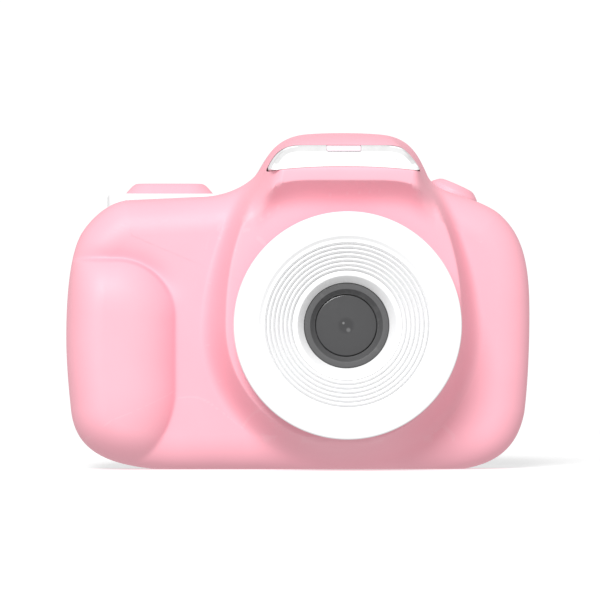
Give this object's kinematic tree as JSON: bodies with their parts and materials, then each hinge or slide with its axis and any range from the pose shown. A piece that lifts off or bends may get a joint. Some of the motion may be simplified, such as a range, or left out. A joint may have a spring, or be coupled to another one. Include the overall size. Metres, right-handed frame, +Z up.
{
  "type": "toy digital camera",
  "caption": "Children's compact digital camera: soft two-part shell with a finger grip, stepped lens ring, flash bar in a central hump, shutter and power buttons, rear screen and key pad.",
  "frame": {"origin": "middle of the bottom of the bounding box, on the surface it stands on", "axes": "+X to the right seen from the front, the lens looks along -Y, +Z up"},
  "size_m": [0.0841, 0.045, 0.0609],
  "materials": {
    "pink_plastic": "satin moulded",
    "white_plastic": "satin moulded",
    "dark_plastic": "semi-gloss",
    "black_plastic": "fine matt",
    "lens_glass": "polished, tinted",
    "clear_plastic": "polished, milky",
    "circuit_board": "solder mask",
    "steel": "stamped",
    "copper": "plated",
    "battery_foil": "wrapped foil",
    "soft_rubber": "matt"
  },
  "bodies": {
    "camera": {"battery": "battery_foil", "battery_lead": "soft_rubber", "card_socket": "steel", "flash_board": "circuit_board", "flash_led": "copper", "flash_reflector": "steel", "flash_window": "clear_plastic", "front_shell": "pink_plastic", "image_sensor": "black_plastic", "indicator_light": "pink_plastic", "ir_filter": "clear_plastic", "key_switch_down": "black_plastic", "key_switch_left": "black_plastic", "key_switch_ok": "black_plastic", "key_switch_right": "black_plastic", "key_switch_up": "black_plastic", "keypad_board": "circuit_board", "lcd_cable": "copper", "lcd_frame": "steel", "lcd_panel": "lens_glass", "lens_barrel": "black_plastic", "lens_bezel": "dark_plastic", "lens_front_element": "clear_plastic", "lens_holder": "black_plastic", "lens_rear_element": "clear_plastic", "lens_ring": "white_plastic", "lens_window": "lens_glass", "main_board": "circuit_board", "memory_card": "black_plastic", "memory_chip": "black_plastic", "microphone": "steel", "power_board": "circuit_board", "power_switch": "black_plastic", "processor_chip": "black_plastic", "rear_shell": "white_plastic", "screen_gasket": "soft_rubber", "screen_window": "lens_glass", "screw_lower_left": "steel", "screw_lower_right": "steel", "screw_upper_left": "steel", "screw_upper_right": "steel", "selfie_camera": "black_plastic", "selfie_window": "lens_glass", "sensor_board": "circuit_board", "sensor_cable": "copper", "shutter_board": "circuit_board", "shutter_switch": "black_plastic", "speaker": "black_plastic", "top_plate": "white_plastic", "usb_port": "steel"},
    "shutter": {"shutter_button": "pink_plastic"},
    "power": {"power_button": "pink_plastic"},
    "key_up": {"button_up": "pink_plastic"},
    "key_down": {"button_down": "pink_plastic"},
    "key_left": {"button_left": "pink_plastic"},
    "key_right": {"button_right": "pink_plastic"},
    "key_ok": {"button_ok": "pink_plastic"},
    "cover": {"port_cover": "soft_rubber"}
  },
  "joints": [
    {"name": "shutter_press", "type": "slide", "parent": "camera", "child": "shutter", "axis": [0, 0, -1], "range_m": [0, 0.001], "stiffness_N_per_m": 300},
    {"name": "power_press", "type": "slide", "parent": "camera", "child": "power", "axis": [-0.4067, 0, -0.9135], "range_m": [0, 0.0008], "stiffness_N_per_m": 300},
    {"name": "up_press", "type": "slide", "parent": "camera", "child": "key_up", "axis": [0, -1, 0], "range_m": [0, 0.0007], "stiffness_N_per_m": 300},
    {"name": "down_press", "type": "slide", "parent": "camera", "child": "key_down", "axis": [0, -1, 0], "range_m": [0, 0.0007], "stiffness_N_per_m": 300},
    {"name": "left_press", "type": "slide", "parent": "camera", "child": "key_left", "axis": [0, -1, 0], "range_m": [0, 0.0007], "stiffness_N_per_m": 300},
    {"name": "right_press", "type": "slide", "parent": "camera", "child": "key_right", "axis": [0, -1, 0], "range_m": [0, 0.0007], "stiffness_N_per_m": 300},
    {"name": "ok_press", "type": "slide", "parent": "camera", "child": "key_ok", "axis": [0, -1, 0], "range_m": [0, 0.0007], "stiffness_N_per_m": 300},
    {"name": "cover_hinge", "type": "hinge", "parent": "camera", "child": "cover", "pos_m": [0.0417, 0.0113, 0.014], "axis": [0, 1, 0], "range_deg": [0, 100]}
  ]
}
